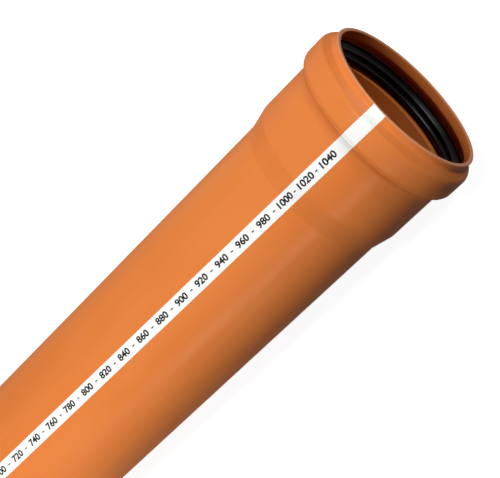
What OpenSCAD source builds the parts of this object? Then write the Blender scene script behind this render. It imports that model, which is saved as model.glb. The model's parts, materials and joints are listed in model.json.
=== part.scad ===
// Push-fit drain pipe: a plain barrel whose own wall is widened into a socket, and the rubber ring
// that seals the socket. The pipe lies along X with its socket towards +X, and the widest part of
// the socket rests at Z = 0. The origin is half way along it. Sizes are in millimetres.

/* [Barrel] */
// Outside diameter of the barrel
pipe_d = 110; // [75:1:200]
// Wall of the barrel
pipe_wall = 3.2; // [2.2:0.1:6]
// Length from the plain end to the foot of the socket's cone
barrel_l = 1000; // [300:10:3000]
// Length of the chamfer round the plain end
chamfer_l = 6; // [3:0.5:12]
// Depth of that chamfer into the wall
chamfer_depth = 1.6; // [0.8:0.1:2]

/* [Socket] */
// Play between a spigot and the socket's bore, on the radius
socket_play = 0.3; // [0.25:0.05:0.8]
// Wall of the socket
socket_wall = 3.05; // [2:0.05:5]
// Length of the socket's bore from its groove to the cone
socket_l = 43; // [30:0.5:90]
// Length of the cone between the socket and the barrel
cone_l = 15.7; // [10:0.1:40]

/* [Lip and ring groove] */
// Wall of the lip at the mouth
lip_wall = 2.85; // [1.8:0.05:4]
// Wall of the lip where it meets the bulge over the groove
neck_wall = 2.1; // [1.6:0.1:4]
// Length of the lip's bore in front of the groove
lip_l = 6.2; // [4:0.1:12]
// Length of the slope from the lip out to the groove's floor
groove_front_l = 4.5; // [3:0.1:8]
// Width of the groove's floor
groove_w = 12.8; // [12:0.1:24]
// Length of the slope from the groove's floor back to the socket's bore
groove_back_l = 3.2; // [2:0.1:8]
// Depth of the groove below the socket's bore
groove_depth = 5.2; // [4:0.1:8]
// Wall over the groove's floor
groove_wall = 2.95; // [2:0.05:5]
// How much longer the bulge's rear shoulder is than the groove's back slope
shoulder_extra_l = 3; // [0:0.1:8]

/* [Rounding] */
// Rounding of the rim's two edges
rim_round = 0.7; // [0.3:0.1:0.85]
// Rounding of the groove's edges towards the bore
groove_edge_round = 1; // [0.4:0.1:1.5]
// Rounding between the groove's floor and its slopes
groove_floor_round = 2; // [0.5:0.1:2.5]
// Rounding of the bulge's crest, outside
crest_round = 5.2; // [3:0.1:5.5]
// Rounding of the neck between the lip and the bulge, outside
neck_round = 3.6; // [1:0.1:4]
// Rounding of the bulge's rear foot, outside
foot_round = 2.9; // [1:0.1:5]
// Rounding at both ends of the cone
cone_round = 8; // [2:0.5:20]

/* [Sealing ring] */
// Play between the ring and the walls of its groove
ring_play = 0.15; // [0.05:0.05:0.3]
// Free space between the groove's front slope and the ring
ring_front_gap = 1.8; // [0.5:0.1:2.5]
// Play between a seated spigot and the ring's two lips, on the radius
lip_play = 0.05; // [0:0.05:0.2]
// Width of each lip where it bears on a spigot
land_w = 1.2; // [0.6:0.1:2]
// Distance from the ring's front to the middle of its first lip
first_lip_at = 3.2; // [2.5:0.1:4]
// Distance between the middles of the two lips
lip_spacing = 5.1; // [4:0.1:6]
// Depth of the valley between the two lips
valley_depth = 2.2; // [1:0.1:3]
// Height of the ring's front edge and heel above its lips
shoulder_h = 3; // [2:0.1:3.5]
// Rounding of the ring's front edges and heel
ring_edge_round = 0.5; // [0.2:0.1:1]
// Rounding of its lips' edges
lip_round = 0.3; // [0.1:0.05:0.3]
// Rounding of the valley between them
valley_round = 0.6; // [0.2:0.1:1]

/* [Hidden] */
$fn = 128;
ARC_STEPS = 5; // straight steps in each rounded corner

// Radii
pipe_r = pipe_d / 2;
bore_r = pipe_r - pipe_wall;
socket_bore_r = pipe_r + socket_play;
groove_r = socket_bore_r + groove_depth;
crest_r = groove_r + groove_wall;

// Places along the axis, measured back from the mouth
groove_from = lip_l + groove_front_l;
groove_to = groove_from + groove_w;
socket_from = groove_to + groove_back_l;
socket_to = socket_from + socket_l;
cone_to = socket_to + cone_l;
end_at = cone_to + barrel_l;

// How far an outside corner stands ahead of or behind the inside corner under it, for an even wall
front_shift = groove_wall * tan(atan(groove_depth / groove_front_l) / 2);
back_shift = groove_wall * tan(atan(groove_depth / groove_back_l) / 2);
cone_shift = socket_wall * tan(atan((socket_bore_r - bore_r) / cone_l) / 2);

function unit(v) = v / norm(v);

// The points of a corner at b, between a and c, rounded to the given radius
function round_corner(a, b, c, radius) =
    let (
        to_a = unit(a - b),
        to_c = unit(c - b),
        half = acos(to_a * to_c) / 2,
        middle = b + unit(to_a + to_c) * radius / sin(half),
        first = b + to_a * radius / tan(half) - middle,
        last = b + to_c * radius / tan(half) - middle
    )
    [for (i = [0 : ARC_STEPS]) middle + radius * unit(first + (last - first) * i / ARC_STEPS)];

function place(corner) = [corner[0], corner[1]];

// A closed outline from corners given as [distance behind the mouth, radius, rounding]
function rounded(corners) =
    let (n = len(corners))
    [for (i = [0 : n - 1])
        let (
            before = place(corners[(i + n - 1) % n]),
            here = place(corners[i]),
            after = place(corners[(i + 1) % n]),
            radius = corners[i][2]
        )
        each radius == 0 ? [here] : round_corner(before, here, after, radius)];

// Turns an outline about the pipe's axis and lays it along X with the mouth at the +X end
module turned(corners) {
    translate([end_at / 2, 0, crest_r])
        rotate([0, 90, 0])
            rotate_extrude()
                polygon([for (p = rounded(corners)) [p[1], -p[0]]]);
}

module pipe() {
    outside = [
        [0, socket_bore_r + lip_wall, rim_round],
        [lip_l - front_shift, socket_bore_r + neck_wall, neck_round],
        [groove_from - front_shift, crest_r, crest_round],
        [groove_to + back_shift, crest_r, crest_round],
        [socket_from + back_shift + shoulder_extra_l, socket_bore_r + socket_wall, foot_round],
        [socket_to + cone_shift, socket_bore_r + socket_wall, cone_round],
        [cone_to + cone_shift, pipe_r, cone_round],
        [end_at - chamfer_l, pipe_r, 0],
        [end_at, pipe_r - chamfer_depth, 0]
    ];
    inside = [
        [end_at, bore_r, 0],
        [cone_to, bore_r, cone_round],
        [socket_to, socket_bore_r, cone_round],
        [socket_from, socket_bore_r, groove_edge_round],
        [groove_to, groove_r, groove_floor_round],
        [groove_from, groove_r, groove_floor_round],
        [lip_l, socket_bore_r, groove_edge_round],
        [0, socket_bore_r, rim_round]
    ];
    color("chocolate")
        turned(concat(outside, inside));
}

// The ring as it lies round a seated spigot, with its two lips pressed back
module seal_ring() {
    lip_r = pipe_r + lip_play;
    valley_r = lip_r + valley_depth;
    edge_r = lip_r + shoulder_h;
    outer_r = groove_r - ring_play;
    front_at = groove_from + ring_front_gap;
    back_slope = groove_back_l / groove_depth;
    slope_gap = ring_play * norm([1, back_slope]);
    back_at = groove_to - slope_gap;
    heel_at = back_at + (groove_r - edge_r) * back_slope;
    first_lip = front_at + first_lip_at;
    second_lip = first_lip + lip_spacing;
    section = [
        [front_at, edge_r, ring_edge_round],
        [front_at, outer_r, ring_edge_round],
        [back_at + ring_play * back_slope, outer_r, groove_floor_round - ring_play],
        [heel_at, edge_r, ring_edge_round],
        [second_lip + land_w / 2, lip_r, lip_round],
        [second_lip - land_w / 2, lip_r, lip_round],
        [(first_lip + second_lip) / 2, valley_r, valley_round],
        [first_lip + land_w / 2, lip_r, lip_round],
        [first_lip - land_w / 2, lip_r, lip_round]
    ];
    color("black")
        turned(section);
}

pipe();
seal_ring();
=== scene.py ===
"""The look of a push-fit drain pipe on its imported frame: wall, sealing ring, printed line and studio."""
import json
import logging
import math
from dataclasses import dataclass
from enum import Enum

import bpy
from mathutils import Matrix, Vector

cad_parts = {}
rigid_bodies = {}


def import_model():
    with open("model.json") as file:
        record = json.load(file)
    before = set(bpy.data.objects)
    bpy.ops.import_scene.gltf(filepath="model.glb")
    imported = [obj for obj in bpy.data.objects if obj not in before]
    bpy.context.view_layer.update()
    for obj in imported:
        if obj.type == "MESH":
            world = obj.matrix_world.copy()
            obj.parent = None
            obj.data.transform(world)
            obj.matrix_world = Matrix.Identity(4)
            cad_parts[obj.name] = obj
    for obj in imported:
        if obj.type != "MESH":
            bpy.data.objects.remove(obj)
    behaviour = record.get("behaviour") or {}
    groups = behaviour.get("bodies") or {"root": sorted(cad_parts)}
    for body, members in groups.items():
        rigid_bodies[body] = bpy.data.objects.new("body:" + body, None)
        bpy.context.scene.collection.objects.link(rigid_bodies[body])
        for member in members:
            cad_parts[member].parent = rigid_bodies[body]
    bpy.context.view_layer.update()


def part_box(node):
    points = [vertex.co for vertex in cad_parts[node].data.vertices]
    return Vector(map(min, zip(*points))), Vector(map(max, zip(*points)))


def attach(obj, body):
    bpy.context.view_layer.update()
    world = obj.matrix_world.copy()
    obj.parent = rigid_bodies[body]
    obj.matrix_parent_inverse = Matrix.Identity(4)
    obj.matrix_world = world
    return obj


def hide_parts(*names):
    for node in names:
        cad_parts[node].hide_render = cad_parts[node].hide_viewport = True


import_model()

LOG = logging.getLogger("drain_pipe")
MM = 0.001
WELD = MM / 200  # points that are closer than this become one

Colour = tuple[float, float, float, float]  # linear red, green and blue, and alpha
Cut = tuple[Vector, Vector]  # a point of the cut and its normal


class Way(Enum):
    """Which way a measure runs from the pipe's axis when the pipe is seen from the camera's side."""

    OUT = "towards the camera"
    OVER = "over the top, square to OUT"


@dataclass(frozen=True)
class Axis:
    """The pipe's axis and its two ends, read from the frame.

    Attributes:
        mouth_x: Place of the socket's mouth along X, in metres.
        end_x: Place of the plain end along X, in metres.
        height: Height of the axis over the floor, in metres.
        view_lift: Angle of the camera's side over the level, in radians.
    """

    mouth_x: float
    end_x: float
    height: float
    view_lift: float = math.radians(50)

    @classmethod
    def from_frame(cls) -> "Axis":
        """Reads the axis from the pipe's box."""
        low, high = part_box("pipe")
        return cls(mouth_x=high[0], end_x=low[0], height=(low[2] + high[2]) / 2)

    def way(self, which: Way) -> Vector:
        """Gives a unit vector square to the axis.

        Args:
            which: The way that it points.

        Returns:
            The vector.
        """
        side = {
            Way.OUT: Vector((0, -math.cos(self.view_lift), math.sin(self.view_lift))),
            Way.OVER: Vector((0, math.sin(self.view_lift), math.cos(self.view_lift))),
        }
        return side[which]

    def spot(self, behind: float, out: float = 0.0, turn: float = 0.0) -> Vector:
        """Places a point round the pipe.

        Args:
            behind: Distance behind the mouth, in metres.
            out: Distance from the axis, in metres.
            turn: Angle from the camera's side over the top, in radians.

        Returns:
            The point in the row's frame.
        """
        ray = self.way(Way.OUT) * math.cos(turn) + self.way(Way.OVER) * math.sin(turn)
        return Vector((self.mouth_x - behind, 0, self.height)) + ray * out


@dataclass(frozen=True)
class Corner:
    """A corner of a turned outline.

    Attributes:
        behind: Distance behind the mouth, in metres.
        out: Distance from the axis, in metres.
        rounding: Radius of its rounding, in metres.
    """

    behind: float
    out: float
    rounding: float = 0.0

    def place(self) -> Vector:
        """Gives the corner as a plane vector."""
        return Vector((self.behind, self.out))


@dataclass(frozen=True)
class Bead:
    """A fine raised line that the forming tool leaves round the outside.

    Attributes:
        behind: Distance of its middle behind the mouth, in metres.
        width: Its width, in metres.
        height: How far its top stands up, in metres.
        dip: How deep the wall is pinched in front of its top, in metres.
        dip_at: Place of the dip, as a share of the width.
        top_at: Place of the top, as a share of the width.
    """

    behind: float
    width: float = 1.1 * MM
    height: float = 0.2 * MM
    dip: float = 0.35 * MM
    dip_at: float = 0.3
    top_at: float = 0.6

    def raise_on(self, points: list[Vector]) -> list[Vector]:
        """Raises the line on an outline whose outside runs first, from the mouth to the plain end.

        Args:
            points: The outline's points.

        Returns:
            The points with those under the line replaced by its feet, its dip and its top.
        """
        start, end = self.behind - self.width / 2, self.behind + self.width / 2
        first = next(i for i, point in enumerate(points) if point.x > start)
        last = next(i for i, point in enumerate(points) if point.x > end)
        foot = self.between(points[first - 1], points[first], start)
        far_foot = self.between(points[last - 1], points[last], end)
        run = far_foot - foot
        outward = Vector((-run.y, run.x)).normalized()
        dip = foot.lerp(far_foot, self.dip_at) - outward * self.dip
        top = foot.lerp(far_foot, self.top_at) + outward * self.height
        return points[:first] + [foot, dip, top, far_foot] + points[last:]

    @staticmethod
    def between(here: Vector, there: Vector, behind: float) -> Vector:
        """Gives the point between two others at the given distance behind the mouth."""
        return here.lerp(there, (behind - here.x) / (there.x - here.x))


@dataclass(frozen=True)
class Outline:
    """A closed outline of corners, rounded by arcs.

    Attributes:
        corners: The corners in order.
        steps: Straight steps in each arc.
    """

    corners: tuple[Corner, ...]
    steps: int = 6

    def points(self) -> list[Vector]:
        """Works out the outline's points.

        Returns:
            The points, each corner's arc in turn.
        """
        found: list[Vector] = []
        for index, corner in enumerate(self.corners):
            if corner.rounding == 0:
                found.append(corner.place())
                continue
            before = self.corners[index - 1].place()
            after = self.corners[(index + 1) % len(self.corners)].place()
            found.extend(self.arc(before, corner.place(), after, corner.rounding))
        return found

    def arc(self, before: Vector, here: Vector, after: Vector, rounding: float) -> list[Vector]:
        """Rounds one corner.

        Args:
            before: The corner before this one.
            here: The corner to round.
            after: The corner after this one.
            rounding: The arc's radius.

        Returns:
            The arc's points, from the side of the corner before to that of the corner after.
        """
        back = (before - here).normalized()
        ahead = (after - here).normalized()
        half = back.angle(ahead) / 2
        middle = here + (back + ahead).normalized() * rounding / math.sin(half)
        first = here + back * rounding / math.tan(half) - middle
        last = here + ahead * rounding / math.tan(half) - middle
        return [
            middle + first.lerp(last, step / self.steps).normalized() * rounding
            for step in range(self.steps + 1)
        ]


class Bench:
    """The modelling steps that several pieces share, each done with Blender's own operators."""

    @staticmethod
    def clear_selection() -> None:
        """Deselects every object, because an operator acts on all that is selected."""
        for item in bpy.context.view_layer.objects:
            item.select_set(False)

    @classmethod
    def start_point(cls, name: str, place: Vector) -> bpy.types.Object:
        """Starts a mesh as one vertex.

        Args:
            name: The new object's name.
            place: Where the vertex stands.

        Returns:
            The object, in edit mode with its vertex selected.
        """
        cls.clear_selection()
        bpy.ops.mesh.primitive_plane_add(size=MM, location=place, enter_editmode=True)
        bpy.context.active_object.name = name
        bpy.ops.mesh.select_mode(type="VERT")
        bpy.ops.mesh.select_all(action="SELECT")
        bpy.ops.mesh.merge(type="CENTER")
        return bpy.context.active_object

    @classmethod
    def lathe(cls, name: str, axis: Axis, points: list[Vector], steps: int) -> bpy.types.Object:
        """Closes an outline and turns it about the pipe's axis.

        Args:
            name: The new object's name.
            axis: The pipe's axis.
            points: The outline's points: distance behind the mouth, distance from the axis.
            steps: Steps of the turn.

        Returns:
            The turned mesh object, at the origin and with its faces outwards.
        """
        places = [axis.spot(point.x, point.y) for point in points + points[:1]]
        turned = cls.start_point(name, places[0])
        for here, there in zip(places, places[1:]):
            bpy.ops.mesh.extrude_vertices_move(TRANSFORM_OT_translate={"value": there - here})
        bpy.ops.mesh.select_all(action="SELECT")
        bpy.ops.mesh.remove_doubles(threshold=WELD)
        bpy.ops.mesh.select_all(action="SELECT")
        bpy.ops.mesh.spin(steps=steps, angle=-math.tau, center=(0, 0, axis.height), axis=(1, 0, 0))
        bpy.ops.mesh.select_all(action="SELECT")
        bpy.ops.mesh.remove_doubles(threshold=WELD)
        bpy.ops.mesh.normals_make_consistent(inside=False)
        bpy.ops.object.mode_set(mode="OBJECT")
        cls.settle(turned)
        return turned

    @classmethod
    def settle(cls, item: bpy.types.Object, smooth_angle: float = math.radians(40)) -> None:
        """Puts an object's place into its mesh and smooths its shading.

        Args:
            item: The mesh object.
            smooth_angle: The angle between two faces from which their edge stays sharp, in radians.
        """
        cls.clear_selection()
        item.select_set(True)
        bpy.context.view_layer.objects.active = item
        bpy.ops.object.transform_apply(location=True, rotation=True, scale=True)
        bpy.ops.object.shade_smooth_by_angle(angle=smooth_angle)

    @classmethod
    def join(cls, name: str, items: list[bpy.types.Object]) -> bpy.types.Object:
        """Joins several mesh objects into one.

        Args:
            name: The joined object's name.
            items: The objects.

        Returns:
            The joined object, which is left active.
        """
        cls.clear_selection()
        for item in items:
            item.select_set(True)
        bpy.context.view_layer.objects.active = items[0]
        bpy.ops.object.join()
        items[0].name = name
        return items[0]

    @staticmethod
    def cut(item: bpy.types.Object, cuts: list[Cut]) -> None:
        """Cuts a mesh across, so that it can follow a curve.

        Args:
            item: The active mesh object, selected. It is not used; the cuts act on whatever object is
                active.
            cuts: A point and the normal of each cut.
        """
        bpy.ops.object.mode_set(mode="EDIT")
        for place, normal in cuts:
            bpy.ops.mesh.select_all(action="SELECT")
            bpy.ops.mesh.bisect(plane_co=place, plane_no=normal)
        bpy.ops.object.mode_set(mode="OBJECT")

    @staticmethod
    def lay_on(item: bpy.types.Object, carrier: bpy.types.Object, lift: float, thickness: float) -> None:
        """Lays a flat mesh on a curved one along its own Z, and gives it a thickness.

        Args:
            item: The active mesh object, over the carrier.
            carrier: The object that it is laid on.
            lift: How far its face stands proud of the carrier.
            thickness: Its thickness, measured back from that face.
        """
        wrap = item.modifiers.new("lay", "SHRINKWRAP")
        wrap.target = carrier
        wrap.wrap_method = "PROJECT"
        wrap.wrap_mode = "ABOVE_SURFACE"
        wrap.use_project_z = True
        wrap.use_positive_direction = False
        wrap.use_negative_direction = True
        wrap.offset = lift
        bpy.ops.object.modifier_apply(modifier=wrap.name)
        body = item.modifiers.new("body", "SOLIDIFY")
        body.thickness = thickness
        body.offset = -1
        bpy.ops.object.modifier_apply(modifier=body.name)


class Nodes:
    """A node tree, added and wired node by node."""

    def __init__(self, tree: bpy.types.NodeTree) -> None:
        """Takes a tree and empties it."""
        self.tree = tree
        self.tree.nodes.clear()

    def add(self, kind: str, settings: dict[str, object] | None = None, **sockets: object) -> bpy.types.Node:
        """Adds a node.

        Args:
            kind: The node's type, without its ShaderNode prefix.
            settings: Properties of the node.
            **sockets: Values or other nodes' outputs for its inputs, spaces in names written as underscores.

        Returns:
            The new node.
        """
        node = self.tree.nodes.new("ShaderNode" + kind)
        for key, value in (settings or {}).items():
            setattr(node, key, value)
        for key, value in sockets.items():
            self.feed(node.inputs[key.replace("_", " ")], value)
        return node

    def feed(self, socket: bpy.types.NodeSocket, value: object) -> None:
        """Feeds one input.

        Args:
            socket: The input.
            value: The output that is linked to it, or its own value.
        """
        if isinstance(value, bpy.types.NodeSocket):
            self.tree.links.new(value, socket)
        else:
            socket.default_value = value

    def math(self, operation: str, *values: object) -> bpy.types.NodeSocket:
        """Adds a Math node.

        Args:
            operation: What it does, such as ADD.
            *values: Its numbers, or outputs of other nodes.

        Returns:
            The result.
        """
        node = self.add("Math", {"operation": operation})
        for socket, value in zip(node.inputs, values):
            self.feed(socket, value)
        return node.outputs[0]

    def seen(self) -> bpy.types.NodeSocket:
        """Tells the rays that show a background from those that light the pipe.

        Returns:
            An output that is 1 for the camera's, reflected and transmitted rays and 0 for all others.
        """
        path = self.add("LightPath")
        either = self.math("MAXIMUM", path.outputs["Is Camera Ray"], path.outputs["Is Glossy Ray"])
        return self.math("MAXIMUM", either, path.outputs["Is Transmission Ray"])

    def choose(self, factor: object, first: bpy.types.Node, second: bpy.types.Node) -> bpy.types.Node:
        """Chooses between two shaders.

        Args:
            factor: 0 for the first, 1 for the second.
            first: The first shader.
            second: The second shader.

        Returns:
            The node that mixes them.
        """
        node = self.add("MixShader", Fac=factor)
        self.feed(node.inputs[1], first.outputs[0])
        self.feed(node.inputs[2], second.outputs[0])
        return node


@dataclass(frozen=True)
class Noise:
    """A noise through a piece's body.

    Attributes:
        scale: Waves per metre along X, Y and Z.
        detail: Octaves of finer noise.
        sharpness: How strongly the finer octaves show.
    """

    scale: tuple[float, float, float]
    detail: float = 2.0
    sharpness: float = 0.5


class Graph(Nodes):
    """A material's nodes."""

    def __init__(self, name: str) -> None:
        """Starts an empty material under the given name."""
        self.material = bpy.data.materials.new(name)
        self.material.use_nodes = True
        super().__init__(self.material.node_tree)

    def place(self) -> bpy.types.NodeSocket:
        """Gives the place of each point in the piece's own frame."""
        return self.add("TexCoord").outputs["Object"]

    def place_along(self) -> bpy.types.NodeSocket:
        """Gives the place along X of each point."""
        return self.add("SeparateXYZ", Vector=self.place()).outputs["X"]

    def place_out(self, height: float) -> bpy.types.NodeSocket:
        """Works out the distance of each point from the pipe's axis.

        Args:
            height: Height of the axis, in metres.

        Returns:
            The distance.
        """
        raised = self.vector("SUBTRACT", self.place(), (0, 0, height)).outputs[0]
        across = self.vector("MULTIPLY", raised, (0, 1, 1)).outputs[0]
        return self.vector("LENGTH", across).outputs["Value"]

    def vector(self, operation: str, *values: object) -> bpy.types.Node:
        """Adds a Vector Math node.

        Args:
            operation: What it does, such as LENGTH.
            *values: Its vectors, or outputs of other nodes.

        Returns:
            The node.
        """
        node = self.add("VectorMath", {"operation": operation})
        for socket, value in zip(node.inputs, values):
            self.feed(socket, value)
        return node

    def blend(self, factor: object, first: object, second: object) -> bpy.types.NodeSocket:
        """Mixes two colours.

        Args:
            factor: 0 for the first, 1 for the second.
            first: The first colour.
            second: The second colour.

        Returns:
            The mixed colour.
        """
        node = self.add("Mix", {"data_type": "RGBA", "blend_type": "MIX"})
        self.feed(node.inputs["Factor"], factor)
        self.feed(node.inputs[6], first)
        self.feed(node.inputs[7], second)
        return node.outputs[2]

    def spread(
        self, value: object, span: tuple[float, float], onto: tuple[float, float]
    ) -> bpy.types.NodeSocket:
        """Maps one range of values smoothly on another.

        Args:
            value: The value.
            span: The value's range.
            onto: What its two ends become.

        Returns:
            The mapped value.
        """
        node = self.add("MapRange", {"interpolation_type": "SMOOTHSTEP"})
        for socket, number in zip(node.inputs, (value, *span, *onto)):
            self.feed(socket, number)
        return node.outputs[0]

    def noise(self, noise: Noise) -> bpy.types.NodeSocket:
        """Adds a noise.

        Args:
            noise: Its sizes.

        Returns:
            The noise's value.
        """
        moved = self.add("Mapping", Vector=self.place(), Scale=noise.scale).outputs[0]
        node = self.add("TexNoise", Vector=moved, Scale=1.0, Detail=noise.detail, Roughness=noise.sharpness)
        return node.outputs[0]

    def finish(self, shader: bpy.types.Node) -> bpy.types.Material:
        """Wires a shader to the output and gives the material."""
        self.add("OutputMaterial", Surface=shader.outputs[0])
        return self.material


def tone(red: int, green: int, blue: int) -> Colour:
    """Turns a display colour into the linear one that a shader takes.

    Args:
        red: Its red, 0 to 255.
        green: Its green, 0 to 255.
        blue: Its blue, 0 to 255.

    Returns:
        The linear colour.
    """
    def linear(value: int) -> float:
        """Makes one channel linear."""
        share = value / 255
        return share / 12.92 if share <= 0.04045 else ((share + 0.055) / 1.055) ** 2.4
    return (linear(red), linear(green), linear(blue), 1.0)


def grey(level: float) -> Colour:
    """Gives the grey of a linear level."""
    return (level, level, level, 1.0)


@dataclass(frozen=True)
class ExtrudedPlastic:
    """Satin orange pipe plastic with faint streaks, turning marks on the cut end and a paler rim that is
    partly rubbed wear and partly a painted highlight.

    Attributes:
        cut_to: Place along X up to which the plain end is cut and chamfered, in metres.
        rim_from: Place along X from which the socket's rim is rubbed and carries a painted highlight, in
            metres.
        cut_fade: Length over which the cut end's finish fades out, in metres.
        rim_fade: Length over which the rim's paler colour, rubbed wear and painted highlight, fades in, in
            metres.
        body: The plain colour.
        deep: The colour of the darker streaks.
        cut: The colour of the freshly cut end.
        rubbed: The colour of the rim, paler for rubbed wear and for a highlight painted on its rounding.
        roughness: The mean roughness.
        roughness_play: How far the roughness strays from its mean.
        cut_roughness: How much rougher the cut end is.
        skin: Strength of the smooth skin that the die leaves.
        skin_roughness: The skin's roughness.
        cloud_share: How much of the tone follows the clouds, and not the streaks.
        streak_share: How much of the skin's relief follows the streaks, and not the peel.
        skin_relief: Height of the streaks and the peel on the skin, in metres.
        cut_relief: Height of the turning marks, in metres.
        streaks: The streaks that the die draws along the pipe.
        clouds: The slow change of tone along the pipe.
        turning: The marks of the tool that cut the plain end.
        peel: The fine peel of the skin.
    """

    cut_to: float
    rim_from: float
    cut_fade: float = 0.3 * MM
    rim_fade: float = 0.5 * MM
    body: Colour = tone(231, 133, 67)
    deep: Colour = tone(227, 127, 60)
    cut: Colour = tone(236, 152, 92)
    # Painted highlight: this paler rim colour is partly rubbed wear and partly a highlight painted on the
    # rim's rounding.
    rubbed: Colour = tone(240, 165, 122)
    roughness: float = 0.55
    roughness_play: float = 0.04
    cut_roughness: float = 0.25
    skin: float = 0.1
    skin_roughness: float = 0.3
    cloud_share: float = 0.8
    streak_share: float = 0.7
    skin_relief: float = 0.1 * MM
    cut_relief: float = 0.15 * MM
    streaks: Noise = Noise((2.0, 420.0, 420.0), detail=3.0)
    clouds: Noise = Noise((9.0, 30.0, 30.0))
    turning: Noise = Noise((2600.0, 30.0, 30.0), sharpness=0.6)
    peel: Noise = Noise((900.0, 900.0, 900.0))

    def material(self) -> bpy.types.Material:
        """Builds the material.

        Returns:
            The material.
        """
        graph = Graph("orange_pipe_plastic")
        streaks = graph.noise(self.streaks)
        clouds = graph.noise(self.clouds)
        turned = graph.noise(self.turning)
        peel = graph.noise(self.peel)
        along = graph.place_along()
        is_cut = graph.spread(along, (self.cut_to, self.cut_to + self.cut_fade), (1.0, 0.0))
        is_rim = graph.spread(along, (self.rim_from, self.rim_from + self.rim_fade), (0.0, 1.0))

        share = graph.spread(graph.blend(self.cloud_share, streaks, clouds), (0.35, 0.65), (0.0, 1.0))
        plain = graph.blend(share, self.deep, self.body)
        cut_tone = graph.blend(turned, self.cut, self.body)
        # The rim takes its paler colour here: partly rubbed wear, partly a painted highlight.
        colour = graph.blend(is_rim, graph.blend(is_cut, plain, cut_tone), self.rubbed)

        drawn = graph.math("MULTIPLY", streaks, self.streak_share)
        peeled = graph.math("MULTIPLY", peel, 1 - self.streak_share)
        skin = graph.math("ADD", drawn, peeled)
        skin_bump = graph.add("Bump", Strength=0.1, Distance=self.skin_relief, Height=skin)
        bump = graph.add(
            "Bump",
            Strength=0.5,
            Distance=self.cut_relief,
            Height=graph.math("MULTIPLY", turned, is_cut),
            Normal=skin_bump.outputs[0],
        )
        smooth, rough = self.roughness - self.roughness_play, self.roughness + self.roughness_play
        gloss = graph.spread(clouds, (0.3, 0.7), (smooth, rough))
        gloss = graph.math("ADD", gloss, graph.math("MULTIPLY", is_cut, self.cut_roughness))
        shader = graph.add(
            "BsdfPrincipled",
            Base_Color=colour,
            Roughness=gloss,
            IOR=1.5,
            Specular_IOR_Level=0.0,
            Coat_Weight=self.skin,
            Coat_Roughness=self.skin_roughness,
            Normal=bump.outputs[0],
        )
        return graph.finish(shader)


@dataclass(frozen=True)
class Rubber:
    """Black moulded rubber with a dull bloom, rubbed smooth where its lips bear.

    Attributes:
        axis_height: Height of the pipe's axis, in metres.
        rubbed_to: Distance from the axis up to which the lips are rubbed, in metres.
        rub_fade: Length over which the rubbed finish fades out, in metres.
        body: The plain colour.
        bloom: The colour of the bloom.
        roughness: The roughness where the rubber is smoothest and where it is roughest.
        polish: How strongly the rubbed lips shine.
        polish_roughness: The roughness of that shine.
        relief: Height of the grain, in metres.
        clouds: The patches of bloom.
        grain: The mould's fine grain.
    """

    axis_height: float
    rubbed_to: float
    rub_fade: float = 0.3 * MM
    body: Colour = tone(9, 5, 8)
    bloom: Colour = tone(18, 12, 16)
    roughness: tuple[float, float] = (0.25, 0.38)
    polish: float = 0.2
    polish_roughness: float = 0.12
    relief: float = 0.1 * MM
    clouds: Noise = Noise((60.0, 60.0, 60.0), detail=4.0)
    grain: Noise = Noise((2500.0, 2500.0, 2500.0))

    def material(self) -> bpy.types.Material:
        """Builds the material.

        Returns:
            The material.
        """
        graph = Graph("black_rubber")
        clouds = graph.noise(self.clouds)
        bloomed = graph.spread(clouds, (0.4, 0.7), (0.0, 0.6))
        bump = graph.add("Bump", Strength=0.2, Distance=self.relief, Height=graph.noise(self.grain))
        out = graph.place_out(self.axis_height)
        rubbed = graph.spread(out, (self.rubbed_to, self.rubbed_to + self.rub_fade), (self.polish, 0.0))
        shader = graph.add(
            "BsdfPrincipled",
            Base_Color=graph.blend(bloomed, self.body, self.bloom),
            Roughness=graph.spread(clouds, (0.3, 0.7), self.roughness),
            IOR=1.15,
            Coat_Weight=rubbed,
            Coat_Roughness=self.polish_roughness,
            Normal=bump.outputs[0],
        )
        return graph.finish(shader)


@dataclass(frozen=True)
class PrintInk:
    """Printing ink that lets a little of the plastic through where it is thin.

    Attributes:
        name: The material's name.
        body: The colour of the full ink.
        thin: The colour where it is thin.
        roughness: The ink's roughness.
        relief: Height of its specks, in metres.
        specks: The specks where it didn't take.
        drag: The streaks that printing along the pipe leaves.
    """

    name: str
    body: Colour
    thin: Colour
    roughness: float
    relief: float = 0.1 * MM
    specks: Noise = Noise((1400.0, 1400.0, 1400.0), detail=3.0, sharpness=0.6)
    drag: Noise = Noise((12.0, 900.0, 900.0))

    def material(self) -> bpy.types.Material:
        """Builds the material.

        Returns:
            The material.
        """
        graph = Graph(self.name)
        specks = graph.noise(self.specks)
        worn = graph.spread(specks, (0.6, 0.8), (0.0, 1.0))
        dragged = graph.spread(graph.noise(self.drag), (0.4, 0.7), (0.2, 1.0))
        thinness = graph.math("MULTIPLY", worn, dragged)
        bump = graph.add("Bump", Strength=0.15, Distance=self.relief, Height=specks)
        shader = graph.add(
            "BsdfPrincipled",
            Base_Color=graph.blend(thinness, self.body, self.thin),
            Roughness=self.roughness,
            IOR=1.5,
            Specular_IOR_Level=0.15,
            Normal=bump.outputs[0],
        )
        return graph.finish(shader)


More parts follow.
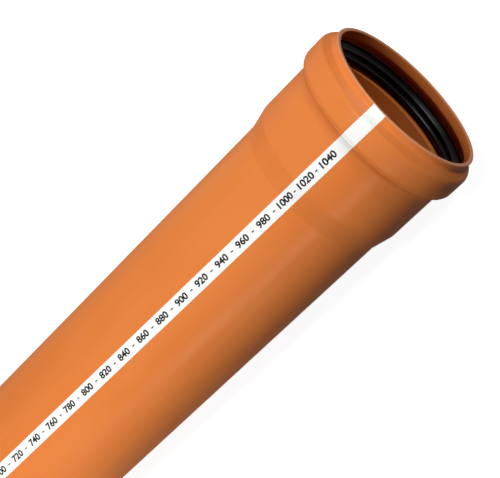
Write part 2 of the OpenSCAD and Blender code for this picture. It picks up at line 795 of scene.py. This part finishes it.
@dataclass(frozen=True)
class StudioFloor:
    """A pale floor that reads as white to the eye, keeps the pipe's shadow and is plain white farther off.

    Attributes:
        shade: How pale the floor is where it is seen, which sets the depth of the shadow.
        glow: The white that it adds near the pipe.
        bounce: How pale it is to the light that it throws back on the pipe.
        plain: Distances from the middle at which the glow starts to rise and is all white, in metres.
    """

    shade: float = 0.25
    glow: float = 0.93
    bounce: float = 0.04
    plain: tuple[float, float] = (0.7, 1.4)

    def material(self) -> bpy.types.Material:
        """Builds the material.

        Returns:
            The material.
        """
        graph = Graph("studio_floor")
        far = graph.vector("LENGTH", graph.place()).outputs["Value"]
        strength = graph.spread(far, self.plain, (self.glow, 1.0))
        glow = graph.add("Emission", Color=grey(1.0), Strength=strength)
        pale = graph.add("BsdfDiffuse", Color=grey(self.shade))
        shown = graph.add("AddShader")
        graph.feed(shown.inputs[0], pale.outputs[0])
        graph.feed(shown.inputs[1], glow.outputs[0])
        dull = graph.add("BsdfDiffuse", Color=grey(self.bounce))
        return graph.finish(graph.choose(graph.seen(), dull, shown))


@dataclass
class PipeWall:
    """The pipe itself, one turned wall from the chamfered plain end to the lip of the socket.

    Sizes are in metres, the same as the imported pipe's. A place is measured behind the mouth.

    Attributes:
        axis: The pipe's axis.
        beads: The fine lines that run round the bulge, one at its neck and one at its rear foot.
        turns: Steps of the turn.
    """

    axis: Axis
    pipe_r: float = 55.0 * MM
    bore_r: float = 51.8 * MM
    socket_r: float = 55.3 * MM
    socket_wall: float = 3.05 * MM
    lip_wall: float = 2.85 * MM
    neck_wall: float = 2.1 * MM
    lip_l: float = 6.2 * MM
    groove_front_l: float = 4.5 * MM
    groove_w: float = 12.8 * MM
    groove_back_l: float = 3.2 * MM
    groove_depth: float = 5.2 * MM
    groove_wall: float = 2.95 * MM
    shoulder_extra_l: float = 3.0 * MM
    socket_l: float = 43.0 * MM
    cone_l: float = 15.7 * MM
    chamfer_l: float = 6.0 * MM
    chamfer_depth: float = 1.6 * MM
    rim_round: float = 0.7 * MM
    neck_round: float = 3.6 * MM
    crest_round: float = 5.2 * MM
    foot_round: float = 2.9 * MM
    cone_round: float = 8.0 * MM
    groove_edge_round: float = 1.0 * MM
    groove_floor_round: float = 2.0 * MM
    beads: tuple[Bead, ...] = (
        Bead(8.1 * MM, width=1.6 * MM, height=0.13 * MM, dip=0.15 * MM),
        Bead(26.7 * MM),
    )
    turns: int = 256

    @property
    def groove_r(self) -> float:
        """Radius of the groove's floor."""
        return self.socket_r + self.groove_depth

    @property
    def crest_r(self) -> float:
        """Radius of the bulge over the groove, outside."""
        return self.groove_r + self.groove_wall

    @property
    def groove_from(self) -> float:
        """Where the groove's floor starts."""
        return self.lip_l + self.groove_front_l

    @property
    def groove_to(self) -> float:
        """Where the groove's floor ends."""
        return self.groove_from + self.groove_w

    @property
    def socket_from(self) -> float:
        """Where the socket's bore starts."""
        return self.groove_to + self.groove_back_l

    @property
    def socket_to(self) -> float:
        """Where the socket's bore ends."""
        return self.socket_from + self.socket_l

    @property
    def cone_to(self) -> float:
        """Where the barrel's bore starts."""
        return self.socket_to + self.cone_l

    @property
    def end_at(self) -> float:
        """Where the plain end is."""
        return self.axis.mouth_x - self.axis.end_x

    @property
    def chamfer_from(self) -> float:
        """Where the chamfer starts."""
        return self.end_at - self.chamfer_l

    def lean(self, run: float, rise: float, wall: float) -> float:
        """Gives how far an outer corner stands from the inner one under it, for an even wall."""
        return wall * math.tan(math.atan2(rise, run) / 2)

    def outside(self) -> tuple[Corner, ...]:
        """Lists the outer corners.

        Returns:
            The corners, from the mouth to the plain end.
        """
        front = self.lean(self.groove_front_l, self.groove_depth, self.groove_wall)
        back = self.lean(self.groove_back_l, self.groove_depth, self.groove_wall)
        cone = self.lean(self.cone_l, self.socket_r - self.bore_r, self.socket_wall)
        socket_out = self.socket_r + self.socket_wall
        return (
            Corner(0, self.socket_r + self.lip_wall, self.rim_round),
            Corner(self.lip_l - front, self.socket_r + self.neck_wall, self.neck_round),
            Corner(self.groove_from - front, self.crest_r, self.crest_round),
            Corner(self.groove_to + back, self.crest_r, self.crest_round),
            Corner(self.socket_from + back + self.shoulder_extra_l, socket_out, self.foot_round),
            Corner(self.socket_to + cone, socket_out, self.cone_round),
            Corner(self.cone_to + cone, self.pipe_r, self.cone_round),
            Corner(self.chamfer_from, self.pipe_r),
            Corner(self.end_at, self.pipe_r - self.chamfer_depth),
        )

    def inside(self) -> tuple[Corner, ...]:
        """Lists the inner corners.

        Returns:
            The corners, from the plain end to the mouth.
        """
        return (
            Corner(self.end_at, self.bore_r),
            Corner(self.cone_to, self.bore_r, self.cone_round),
            Corner(self.socket_to, self.socket_r, self.cone_round),
            Corner(self.socket_from, self.socket_r, self.groove_edge_round),
            Corner(self.groove_to, self.groove_r, self.groove_floor_round),
            Corner(self.groove_from, self.groove_r, self.groove_floor_round),
            Corner(self.lip_l, self.socket_r, self.groove_edge_round),
            Corner(0, self.socket_r, self.rim_round),
        )

    def outline(self) -> list[Vector]:
        """Works out the wall's whole outline.

        Returns:
            Its points, the outside first, with the beads raised on it.
        """
        points = Outline(self.outside() + self.inside()).points()
        for bead in self.beads:
            points = bead.raise_on(points)
        return points

    def stations(self) -> list[float]:
        """Lists the places where the outside changes its slope.

        Returns:
            The places, from the mouth up to the chamfer.
        """
        outer = self.outline()
        last = next(i for i, point in enumerate(outer) if point.x > self.chamfer_from - WELD)
        return [point.x for point in outer[:last]]

    def build(self, finish: ExtrudedPlastic) -> bpy.types.Object:
        """Turns the wall and dresses it.

        Args:
            finish: The plastic's finish.

        Returns:
            The pipe's mesh object.
        """
        wall = Bench.lathe("pipe_wall", self.axis, self.outline(), self.turns)
        wall.data.materials.append(finish.material())
        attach(wall, "root")
        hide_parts("pipe")
        return wall


@dataclass
class SealRing:
    """The rubber ring in the socket's groove, with its two lips pressed back as round a spigot.

    Attributes:
        wall: The pipe that holds it.
        play: Play between the ring and the walls of its groove.
        front_gap: Free space between the groove's front slope and the ring.
        lip_r: Radius of its lips.
        land_w: Width of each lip where it bears.
        first_lip_at: Distance from its front to the middle of the first lip.
        lip_spacing: Distance between the middles of the two lips.
        valley_depth: Depth of the valley between them.
        shoulder_h: Height of its front edge and heel above the lips.
        edge_round: Rounding of its front edges and heel.
        lip_round: Rounding of the lips' edges.
        valley_round: Rounding of the valley.
        rubbed: How deep the lips are rubbed smooth, where they are glossier and catch highlights.
        turns: Steps of the turn.
    """

    wall: PipeWall
    play: float = 0.15 * MM
    front_gap: float = 1.8 * MM
    lip_r: float = 55.05 * MM
    land_w: float = 1.2 * MM
    first_lip_at: float = 3.2 * MM
    lip_spacing: float = 5.1 * MM
    valley_depth: float = 2.2 * MM
    shoulder_h: float = 3.0 * MM
    edge_round: float = 0.5 * MM
    lip_round: float = 0.3 * MM
    valley_round: float = 0.6 * MM
    rubbed: float = 0.1 * MM
    turns: int = 256

    def section(self) -> tuple[Corner, ...]:
        """Lists the corners of the ring's section.

        Returns:
            The corners, round the section from the foot of its front.
        """
        wall = self.wall
        outer_r = wall.groove_r - self.play
        edge_r = self.lip_r + self.shoulder_h
        slope = wall.groove_back_l / wall.groove_depth
        front = wall.groove_from + self.front_gap
        back = wall.groove_to - self.play * math.hypot(1, slope)
        heel = back + (wall.groove_r - edge_r) * slope
        first = front + self.first_lip_at
        second = first + self.lip_spacing
        half = self.land_w / 2
        return (
            Corner(front, edge_r, self.edge_round),
            Corner(front, outer_r, self.edge_round),
            Corner(back + self.play * slope, outer_r, wall.groove_floor_round - self.play),
            Corner(heel, edge_r, self.edge_round),
            Corner(second + half, self.lip_r, self.lip_round),
            Corner(second - half, self.lip_r, self.lip_round),
            Corner((first + second) / 2, self.lip_r + self.valley_depth, self.valley_round),
            Corner(first + half, self.lip_r, self.lip_round),
            Corner(first - half, self.lip_r, self.lip_round),
        )

    def build(self) -> bpy.types.Object:
        """Turns the ring and dresses it in black rubber.

        Returns:
            The ring's mesh object.
        """
        axis = self.wall.axis
        ring = Bench.lathe("rubber_ring", axis, Outline(self.section()).points(), self.turns)
        finish = Rubber(axis_height=axis.height, rubbed_to=self.lip_r + self.rubbed)
        ring.data.materials.append(finish.material())
        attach(ring, "root")
        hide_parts("seal_ring")
        return ring


@dataclass
class LengthPrint:
    """The white line along the pipe, with its length from the plain end printed on it in millimetres.

    Sizes are in metres. A place is measured behind the mouth.

    Attributes:
        pipe: The pipe's sizes.
        wall: The pipe's mesh, which carries the print.
        line_w: Width of the white line.
        over: How far the line's middle stands over the pipe's front line, at the mouth.
        drift: How far the line climbs per length towards the plain end.
        line_from: Where the line starts.
        bare_to: Up to where no figure is printed.
        figure_step: Distance between two figures.
        figure_size: Size of the figures' type.
        weight: How much the type's strokes are thickened on each side, as a share of its size.
        breadth: How much wider than plain type the figures are.
        curve_steps: Straight steps in each curve of the type.
        dash: Length and width of the dash between two figures.
        clear_by: How far over the bulge the print is drawn before it is laid on the wall.
        line_lift: How far the white film stands proud of the wall.
        line_body: Thickness of the white film.
        ink_lift: How far the figures stand proud of the wall.
        ink_body: Thickness of the figures.
        strips: Strips into which the line and the figures are cut lengthwise, to bend round the pipe.
        barrel_cuts: Cuts across the line on the barrel.
        cuts_from: How far past the cone those cuts start.
    """

    pipe: PipeWall
    wall: bpy.types.Object
    line_w: float = 10.1 * MM
    over: float = 5.05 * MM
    drift: float = 0.0103
    line_from: float = 0.3 * MM
    bare_to: float = 36 * MM
    figure_step: float = 20 * MM
    figure_size: float = 6.3 * MM
    weight: float = 0.034
    breadth: float = 1.13
    curve_steps: int = 4
    dash: tuple[float, float] = (2.0 * MM, 0.8 * MM)
    clear_by: float = 20 * MM
    line_lift: float = 0.05 * MM
    line_body: float = 0.075 * MM
    ink_lift: float = 0.09 * MM
    ink_body: float = 0.06 * MM
    strips: int = 10
    barrel_cuts: int = 32
    cuts_from: float = 10 * MM

    @property
    def slant(self) -> float:
        """Angle between the line and the pipe's axis."""
        return math.atan(self.drift)

    def ways(self) -> Matrix:
        """Works out the print's own directions.

        Returns:
            A turn whose columns point towards the mouth, up the figures and out of the wall.
        """
        along = Vector((1, 0, 0))
        over = self.pipe.axis.way(Way.OVER)
        line = along * math.cos(self.slant) - over * math.sin(self.slant)
        up = over * math.cos(self.slant) + along * math.sin(self.slant)
        return Matrix((line, up, self.pipe.axis.way(Way.OUT))).transposed()

    def spot(self, behind: float) -> Vector:
        """Finds a point over the line's middle, clear of the wall.

        Args:
            behind: The place along the pipe.

        Returns:
            The point.
        """
        axis = self.pipe.axis
        over = axis.way(Way.OVER) * (self.over + self.drift * behind)
        return axis.spot(behind, self.pipe.crest_r + self.clear_by) + over

    def strip(self, behind: float, length: float, width: float) -> bpy.types.Object:
        """Adds a flat strip over the line.

        Args:
            behind: Where its middle is.
            length: Its length along the line.
            width: Its width across the line.

        Returns:
            The strip, with its size in its mesh.
        """
        Bench.clear_selection()
        turn = self.ways().to_euler()
        bpy.ops.mesh.primitive_plane_add(size=1, location=self.spot(behind), rotation=turn)
        strip = bpy.context.active_object
        strip.scale = (length, width, 1)
        bpy.ops.object.transform_apply(location=False, rotation=False, scale=True)
        return strip

    def figure(self, number: int) -> bpy.types.Object:
        """Sets one figure over the line: its distance from the plain end, in millimetres.

        Args:
            number: Which figure it is, counted from the plain end.

        Returns:
            The figure's mesh object, with its size in its mesh.
        """
        from_end = number * self.figure_step
        Bench.clear_selection()
        turn = self.ways().to_euler()
        bpy.ops.object.text_add(location=self.spot(self.pipe.end_at - from_end), rotation=turn)
        figure = bpy.context.active_object
        figure.data.body = str(round(from_end / MM))
        figure.data.size = self.figure_size
        figure.data.offset = self.weight * self.figure_size
        figure.data.resolution_u = self.curve_steps
        figure.data.align_x = "CENTER"
        figure.data.align_y = "CENTER"
        bpy.ops.object.convert(target="MESH")
        figure = bpy.context.active_object
        figure.scale.x = self.breadth
        bpy.ops.object.transform_apply(location=False, rotation=False, scale=True)
        return figure

    def across(self, places: list[float]) -> list[Cut]:
        """Plans cuts square to the pipe at places along it."""
        return [(Vector((self.pipe.axis.mouth_x - place, 0, 0)), Vector((1, 0, 0))) for place in places]

    def lengthwise(self, width: float) -> list[Cut]:
        """Plans the cuts along the line that part it into strips.

        Args:
            width: The width that is parted.

        Returns:
            The cuts.
        """
        up = self.ways().col[1]
        steps = [width * (step / self.strips - 0.5) for step in range(1, self.strips)]
        return [(self.spot(0) + up * step, up) for step in steps]

    def line(self, ink: PrintInk) -> bpy.types.Object:
        """Lays the white line from the mouth to the chamfer.

        Args:
            ink: The white ink.

        Returns:
            The line's mesh object.
        """
        pipe = self.pipe
        length = pipe.chamfer_from - self.line_from
        middle = self.line_from + length / 2
        line = self.strip(middle, length / math.cos(self.slant), self.line_w)
        line.name = "white_line"
        barrel_from = pipe.cone_to + self.cuts_from
        barrel_l = pipe.chamfer_from - barrel_from
        barrel = [barrel_from + barrel_l * step / self.barrel_cuts for step in range(self.barrel_cuts)]
        bends = [place for place in pipe.stations() if place > self.line_from]
        Bench.cut(line, self.across(bends + barrel) + self.lengthwise(self.line_w))
        Bench.lay_on(line, self.wall, self.line_lift, self.line_body)
        return self.dress(line, ink)

    def figures(self, ink: PrintInk) -> bpy.types.Object:
        """Prints the figures and the dashes between them.

        Args:
            ink: The black ink.

        Returns:
            The figures' mesh object.
        """
        pipe = self.pipe
        printed: list[bpy.types.Object] = []
        count = int((pipe.end_at - self.bare_to) / self.figure_step)
        for number in range(1, count + 1):
            printed.append(self.figure(number))
            dash_from_end = (number - 0.5) * self.figure_step
            printed.append(self.strip(pipe.end_at - dash_from_end, *self.dash))
        figures = Bench.join("length_figures", printed)
        bends = [place for place in pipe.stations() if place > self.bare_to]
        Bench.cut(figures, self.across(bends) + self.lengthwise(self.figure_size))
        Bench.lay_on(figures, self.wall, self.ink_lift, self.ink_body)
        return self.dress(figures, ink)

    def dress(self, item: bpy.types.Object, ink: PrintInk) -> bpy.types.Object:
        """Puts a print's place into its mesh and gives it its ink.

        Args:
            item: The print's mesh object.
            ink: Its ink.

        Returns:
            The same object.
        """
        Bench.settle(item)
        item.data.materials.clear()
        item.data.materials.append(ink.material())
        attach(item, "root")
        return item


@dataclass(frozen=True)
class Softbox:
    """A softbox round the pipe, turned to a point on its axis.

    Attributes:
        name: The lamp's name.
        behind: Where it hangs, behind the mouth, in metres.
        out: Its distance from the axis, in metres.
        turn: Its angle from the camera's side over the top, in radians.
        aim: Place behind the mouth of the point that it faces, in metres.
        size: Its length along the pipe and its height, in metres.
        power: Its power, in watts.
        spread: The angle that the grid over it lets through, in radians.
        shine_only: Whether it is seen in reflections and lights nothing else.
    """

    name: str
    behind: float
    out: float
    turn: float
    aim: float
    size: tuple[float, float]
    power: float
    spread: float = math.pi
    shine_only: bool = False

    def hang(self, axis: Axis) -> bpy.types.Object:
        """Hangs the softbox.

        Args:
            axis: The pipe's axis.

        Returns:
            The lamp.
        """
        place = axis.spot(self.behind, self.out, self.turn)
        Bench.clear_selection()
        bpy.ops.object.light_add(type="AREA", location=place)
        lamp = bpy.context.active_object
        lamp.name = self.name
        lamp.rotation_euler = (axis.spot(self.aim) - place).to_track_quat("-Z", "Y").to_euler()
        lamp.visible_diffuse = not self.shine_only
        lamp.data.shape = "RECTANGLE"
        lamp.data.size, lamp.data.size_y = self.size
        lamp.data.energy = self.power
        lamp.data.spread = self.spread
        return lamp


@dataclass
class Studio:
    """The floor, the lamps, the world and the camera.

    Attributes:
        axis: The pipe's axis.
        pipe: The pipe's sizes.
        camera_ahead: How far the camera stands ahead of the mouth, in metres.
        camera_out: Its distance from the pipe's axis, in metres.
        pan: How far it looks back along the pipe, in radians.
        lift: How far it looks up over the pipe's axis, in radians.
        roll: The slant of the pipe in its picture, in radians.
        lens: Its focal length, in millimetres.
        sensor_w: Width of its sensor, in millimetres.
        nearest: Distance from which it sees things, in metres.
        floor_w: Width of the floor, in metres.
        fill: Strength of the world's even light.
        lamps: The softboxes.
    """

    axis: Axis
    pipe: PipeWall
    camera_ahead: float = 267.5 * MM
    camera_out: float = 876.1 * MM
    pan: float = math.radians(25.28)
    lift: float = math.radians(0.26)
    roll: float = math.radians(44.29)
    lens: float = 104.81
    sensor_w: float = 36
    nearest: float = 10 * MM
    floor_w: float = 30
    fill: float = 0.01
    lamps: tuple[Softbox, ...] = (
        Softbox("key", 0.1, 2.0, math.radians(23), aim=0.25, size=(0.5, 0.5), power=31.5),
        Softbox("back", 0.4, 2.0, math.radians(115), aim=0.4, size=(1.5, 1.5), power=12.5),
        Softbox("mouth", -2.0, 1.1, math.radians(30), aim=0, size=(0.4, 0.4), power=18),
        Softbox(
            "strip",
            0.6,
            0.8,
            math.radians(-46),
            aim=0.52,
            size=(0.5, 0.1),
            power=0.45,
            spread=math.radians(60),
        ),
        Softbox("sheen", 0.55, 0.8, math.radians(-44), aim=0.55, size=(0.9, 0.08), power=3, shine_only=True),
        Softbox("glint", -2.0, 0.75, math.radians(80), aim=0, size=(0.7, 0.7), power=24, shine_only=True),
    )

    def camera(self) -> bpy.types.Object:
        """Places the camera ahead of the mouth, looking back along the pipe.

        Returns:
            The camera.
        """
        out = self.axis.way(Way.OUT)
        over = self.axis.way(Way.OVER)
        along = Vector((1, 0, 0))
        place = self.axis.spot(-self.camera_ahead, self.camera_out)
        level = -math.sin(self.pan) * along - math.cos(self.pan) * out
        ahead = (math.cos(self.lift) * level + math.sin(self.lift) * over).normalized()
        pipe_way = (along - ahead * along.dot(ahead)).normalized()
        square = (-ahead).cross(pipe_way)
        right = pipe_way * math.cos(self.roll) - square * math.sin(self.roll)
        up = pipe_way * math.sin(self.roll) + square * math.cos(self.roll)
        turn = Matrix((right, up, -ahead)).transposed()
        Bench.clear_selection()
        bpy.ops.object.camera_add()
        camera = bpy.context.active_object
        camera.matrix_world = Matrix.Translation(place) @ turn.to_4x4()
        camera.data.sensor_width = self.sensor_w
        camera.data.lens = self.lens
        camera.data.clip_start = self.nearest
        bpy.context.scene.camera = camera
        return camera

    def floor(self, finish: StudioFloor) -> bpy.types.Object:
        """Lays the floor under what the pipe lies on, its bulge's rear edge and the end of its barrel.

        Args:
            finish: The floor's finish.

        Returns:
            The floor.
        """
        pipe = self.pipe
        rear_edge = self.axis.mouth_x - pipe.groove_to
        barrel_end = self.axis.mouth_x - pipe.chamfer_from
        slope = math.atan2(pipe.crest_r - pipe.pipe_r, rear_edge - barrel_end)
        middle = (0, 0, rear_edge * math.tan(slope))
        Bench.clear_selection()
        bpy.ops.mesh.primitive_plane_add(size=self.floor_w, location=middle, rotation=(0, slope, 0))
        floor = bpy.context.active_object
        floor.name = "studio_floor"
        floor.data.materials.append(finish.material())
        return floor

    def light(self) -> None:
        """Hangs the softboxes."""
        for lamp in self.lamps:
            lamp.hang(self.axis)

    def world(self) -> None:
        """Fills the world with a dim even light that reads as white to the eye."""
        world = bpy.data.worlds.new("studio")
        world.use_nodes = True
        bpy.context.scene.world = world
        nodes = Nodes(world.node_tree)
        dim = nodes.add("Background", Strength=self.fill)
        white = nodes.add("Background", Color=grey(1.0))
        shown = nodes.choose(nodes.seen(), dim, white)
        nodes.add("OutputWorld", Surface=shown.outputs[0])


def report(piece: bpy.types.Object) -> None:
    """Logs a finished piece and its number of faces."""
    LOG.info("%s: %d faces", piece.name, len(piece.data.polygons))


def main() -> None:
    """Builds the pipe and its studio."""
    logging.basicConfig(level=logging.INFO, format="%(name)s: %(message)s")
    axis = Axis.from_frame()
    pipe = PipeWall(axis)
    studio = Studio(axis, pipe)
    studio.camera()
    cut_to, rim_from = axis.mouth_x - pipe.chamfer_from, axis.mouth_x - pipe.rim_round
    wall = pipe.build(ExtrudedPlastic(cut_to, rim_from))
    report(wall)
    report(SealRing(pipe).build())
    mark = LengthPrint(pipe, wall)
    white = PrintInk("white_ink", body=tone(253, 253, 251), thin=tone(246, 238, 228), roughness=0.42)
    report(mark.line(white))
    black = PrintInk("black_ink", body=tone(16, 16, 18), thin=tone(40, 38, 40), roughness=0.5)
    report(mark.figures(black))
    studio.floor(StudioFloor())
    studio.light()
    studio.world()
    bpy.context.scene.view_settings.view_transform = "Standard"


if __name__ == "__main__":
    main()
